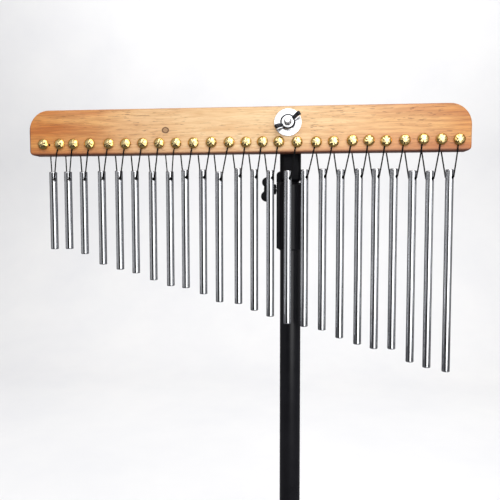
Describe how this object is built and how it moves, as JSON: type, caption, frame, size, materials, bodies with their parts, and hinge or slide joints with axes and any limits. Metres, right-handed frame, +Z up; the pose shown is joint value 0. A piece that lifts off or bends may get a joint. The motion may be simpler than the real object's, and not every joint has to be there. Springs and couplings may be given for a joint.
{
  "type": "bar chimes on a stand",
  "caption": "Hand percussion: metal chime rods of rising length hang by cord from a studded wooden bar, clamped by a wing nut to a black height-adjustable folding stand.",
  "frame": {"origin": "on the floor, on the axis of the pole, at the centre of the pole foot's flat underside", "axes": "+Z up along the pole; +X along the wooden bar from the short rods to the long rods; -Y towards the player"},
  "size_m": [0.4896, 0.3778, 0.7],
  "materials": {
    "wood": "clear lacquered hardwood",
    "brass": "polished",
    "rod_aluminium": "polished and drawn",
    "cord": "waxed braided cord",
    "zinc": "bright zinc plated",
    "black_gloss": "moulded, glossy",
    "black_paint": "gloss powder coat",
    "black_plastic": "moulded, fine texture",
    "white_nylon": "moulded",
    "fibre": "pressed fibre",
    "steel": "plain",
    "black_rubber": "moulded rubber"
  },
  "bodies": {
    "stand": {"lower_tube": "black_paint", "lock_collar": "black_plastic", "threaded_insert": "brass", "tripod_hub": "black_plastic", "hub_set_screw": "steel", "leg_pins": "steel", "pole_foot": "black_rubber"},
    "riser": {"upper_tube": "black_paint", "glide_bush": "white_nylon", "bush_rivet": "steel", "stand_head": "black_gloss", "head_pin": "steel", "clamp_bolt": "zinc"},
    "crossbar": {"crossbar": "wood", "stud_nails": "brass", "hanging_cord": "cord", "front_washer": "zinc", "rear_washer": "fibre"},
    "wing_nut": {"wing_nut": "zinc"},
    "lock_knob": {"lock_knob": "black_plastic", "lock_screw": "zinc"},
    "leg_left": {"leg_left": "black_paint", "foot_left": "black_rubber"},
    "leg_right": {"leg_right": "black_paint", "foot_right": "black_rubber"},
    "leg_rear": {"leg_rear": "black_paint", "foot_rear": "black_rubber"},
    "chime_01": {"chime_01": "rod_aluminium"},
    "chime_02": {"chime_02": "rod_aluminium"},
    "chime_03": {"chime_03": "rod_aluminium"},
    "chime_04": {"chime_04": "rod_aluminium"},
    "chime_05": {"chime_05": "rod_aluminium"},
    "chime_06": {"chime_06": "rod_aluminium"},
    "chime_07": {"chime_07": "rod_aluminium"},
    "chime_08": {"chime_08": "rod_aluminium"},
    "chime_09": {"chime_09": "rod_aluminium"},
    "chime_10": {"chime_10": "rod_aluminium"},
    "chime_11": {"chime_11": "rod_aluminium"},
    "chime_12": {"chime_12": "rod_aluminium"},
    "chime_13": {"chime_13": "rod_aluminium"},
    "chime_14": {"chime_14": "rod_aluminium"},
    "chime_15": {"chime_15": "rod_aluminium"},
    "chime_16": {"chime_16": "rod_aluminium"},
    "chime_17": {"chime_17": "rod_aluminium"},
    "chime_18": {"chime_18": "rod_aluminium"},
    "chime_19": {"chime_19": "rod_aluminium"},
    "chime_20": {"chime_20": "rod_aluminium"},
    "chime_21": {"chime_21": "rod_aluminium"},
    "chime_22": {"chime_22": "rod_aluminium"},
    "chime_23": {"chime_23": "rod_aluminium"},
    "chime_24": {"chime_24": "rod_aluminium"}
  },
  "joints": [
    {"name": "height_slide", "type": "slide", "parent": "stand", "child": "riser", "axis": [0, 0, 1], "range_m": [0, 0.22]},
    {"name": "bar_tilt", "type": "hinge", "parent": "riser", "child": "crossbar", "pos_m": [-0.0023, -0.0205, 0.6834], "axis": [0, -1, 0], "range_deg": [-15, 15]},
    {"name": "wing_nut_turn", "type": "hinge", "parent": "riser", "child": "wing_nut", "pos_m": [-0.0023, -0.0205, 0.6834], "axis": [0, -1, 0], "range_deg": [0, 450]},
    {"name": "lock_knob_turn", "type": "hinge", "parent": "stand", "child": "lock_knob", "pos_m": [-0.015, 0, 0.6181], "axis": [-1, 0, 0], "range_deg": [0, 450]},
    {"name": "leg_left_fold", "type": "hinge", "parent": "stand", "child": "leg_left", "pos_m": [-0.02252, -0.013, 0.14], "axis": [0.5, -0.866, 0], "range_deg": [0, 58]},
    {"name": "leg_right_fold", "type": "hinge", "parent": "stand", "child": "leg_right", "pos_m": [0.02252, -0.013, 0.14], "axis": [0.5, 0.866, 0], "range_deg": [0, 58]},
    {"name": "leg_rear_fold", "type": "hinge", "parent": "stand", "child": "leg_rear", "pos_m": [0, 0.026, 0.14], "axis": [-1, 0, 0], "range_deg": [0, 58]},
    {"name": "chime_01_swing", "type": "hinge", "parent": "crossbar", "child": "chime_01", "pos_m": [-0.2515, -0.0205, 0.6544], "axis": [0.5904, -0.8071, 0], "range_deg": [-25, 25], "deforming": ["hanging_cord"]},
    {"name": "chime_02_swing", "type": "hinge", "parent": "crossbar", "child": "chime_02", "pos_m": [-0.2352, -0.0205, 0.6544], "axis": [0.5904, -0.8071, 0], "range_deg": [-25, 25], "deforming": ["hanging_cord"]},
    {"name": "chime_03_swing", "type": "hinge", "parent": "crossbar", "child": "chime_03", "pos_m": [-0.2182, -0.0205, 0.6544], "axis": [0.5904, -0.8071, 0], "range_deg": [-25, 25], "deforming": ["hanging_cord"]},
    {"name": "chime_04_swing", "type": "hinge", "parent": "crossbar", "child": "chime_04", "pos_m": [-0.1984, -0.0205, 0.6544], "axis": [0.5904, -0.8071, 0], "range_deg": [-25, 25], "deforming": ["hanging_cord"]},
    {"name": "chime_05_swing", "type": "hinge", "parent": "crossbar", "child": "chime_05", "pos_m": [-0.1798, -0.0205, 0.6544], "axis": [0.5904, -0.8071, 0], "range_deg": [-25, 25], "deforming": ["hanging_cord"]},
    {"name": "chime_06_swing", "type": "hinge", "parent": "crossbar", "child": "chime_06", "pos_m": [-0.1626, -0.0205, 0.6544], "axis": [0.5904, -0.8071, 0], "range_deg": [-25, 25], "deforming": ["hanging_cord"]},
    {"name": "chime_07_swing", "type": "hinge", "parent": "crossbar", "child": "chime_07", "pos_m": [-0.1437, -0.0205, 0.6544], "axis": [0.5904, -0.8071, 0], "range_deg": [-25, 25], "deforming": ["hanging_cord"]},
    {"name": "chime_08_swing", "type": "hinge", "parent": "crossbar", "child": "chime_08", "pos_m": [-0.1254, -0.0205, 0.6544], "axis": [0.5904, -0.8071, 0], "range_deg": [-25, 25], "deforming": ["hanging_cord"]},
    {"name": "chime_09_swing", "type": "hinge", "parent": "crossbar", "child": "chime_09", "pos_m": [-0.1091, -0.0205, 0.6544], "axis": [0.5904, -0.8071, 0], "range_deg": [-25, 25], "deforming": ["hanging_cord"]},
    {"name": "chime_10_swing", "type": "hinge", "parent": "crossbar", "child": "chime_10", "pos_m": [-0.0905, -0.0205, 0.6544], "axis": [0.5904, -0.8071, 0], "range_deg": [-25, 7], "deforming": ["hanging_cord"]},
    {"name": "chime_11_swing", "type": "hinge", "parent": "crossbar", "child": "chime_11", "pos_m": [-0.0735, -0.0205, 0.6544], "axis": [0.5904, -0.8071, 0], "range_deg": [-25, 5], "deforming": ["hanging_cord"]},
    {"name": "chime_12_swing", "type": "hinge", "parent": "crossbar", "child": "chime_12", "pos_m": [-0.0536, -0.0205, 0.6544], "axis": [0.5904, -0.8071, 0], "range_deg": [-25, 1.5], "deforming": ["hanging_cord"]},
    {"name": "chime_13_swing", "type": "hinge", "parent": "crossbar", "child": "chime_13", "pos_m": [-0.037, -0.0205, 0.6544], "axis": [0.5904, -0.8071, 0], "range_deg": [-25, 2], "deforming": ["hanging_cord"]},
    {"name": "chime_14_swing", "type": "hinge", "parent": "crossbar", "child": "chime_14", "pos_m": [-0.0204, -0.0205, 0.6544], "axis": [0.5904, -0.8071, 0], "range_deg": [-25, 1.5], "deforming": ["hanging_cord"]},
    {"name": "chime_15_swing", "type": "hinge", "parent": "crossbar", "child": "chime_15", "pos_m": [-0.0025, -0.0205, 0.6544], "axis": [0.5904, -0.8071, 0], "range_deg": [-25, 1.5], "deforming": ["hanging_cord"]},
    {"name": "chime_16_swing", "type": "hinge", "parent": "crossbar", "child": "chime_16", "pos_m": [0.0145, -0.0205, 0.6544], "axis": [0.5904, -0.8071, 0], "range_deg": [-25, 2], "deforming": ["hanging_cord"]},
    {"name": "chime_17_swing", "type": "hinge", "parent": "crossbar", "child": "chime_17", "pos_m": [0.033, -0.0205, 0.6544], "axis": [0.5904, -0.8071, 0], "range_deg": [-25, 25], "deforming": ["hanging_cord"]},
    {"name": "chime_18_swing", "type": "hinge", "parent": "crossbar", "child": "chime_18", "pos_m": [0.051, -0.0205, 0.6544], "axis": [0.5904, -0.8071, 0], "range_deg": [-25, 25], "deforming": ["hanging_cord"]},
    {"name": "chime_19_swing", "type": "hinge", "parent": "crossbar", "child": "chime_19", "pos_m": [0.0693, -0.0205, 0.6544], "axis": [0.5904, -0.8071, 0], "range_deg": [-25, 25], "deforming": ["hanging_cord"]},
    {"name": "chime_20_swing", "type": "hinge", "parent": "crossbar", "child": "chime_20", "pos_m": [0.0861, -0.0205, 0.6544], "axis": [0.5904, -0.8071, 0], "range_deg": [-25, 25], "deforming": ["hanging_cord"]},
    {"name": "chime_21_swing", "type": "hinge", "parent": "crossbar", "child": "chime_21", "pos_m": [0.1039, -0.0205, 0.6544], "axis": [0.5904, -0.8071, 0], "range_deg": [-25, 25], "deforming": ["hanging_cord"]},
    {"name": "chime_22_swing", "type": "hinge", "parent": "crossbar", "child": "chime_22", "pos_m": [0.1224, -0.0205, 0.6544], "axis": [0.5904, -0.8071, 0], "range_deg": [-25, 25], "deforming": ["hanging_cord"]},
    {"name": "chime_23_swing", "type": "hinge", "parent": "crossbar", "child": "chime_23", "pos_m": [0.1393, -0.0205, 0.6544], "axis": [0.5904, -0.8071, 0], "range_deg": [-25, 25], "deforming": ["hanging_cord"]},
    {"name": "chime_24_swing", "type": "hinge", "parent": "crossbar", "child": "chime_24", "pos_m": [0.1585, -0.0205, 0.6544], "axis": [0.5904, -0.8071, 0], "range_deg": [-25, 25], "deforming": ["hanging_cord"]}
  ]
}
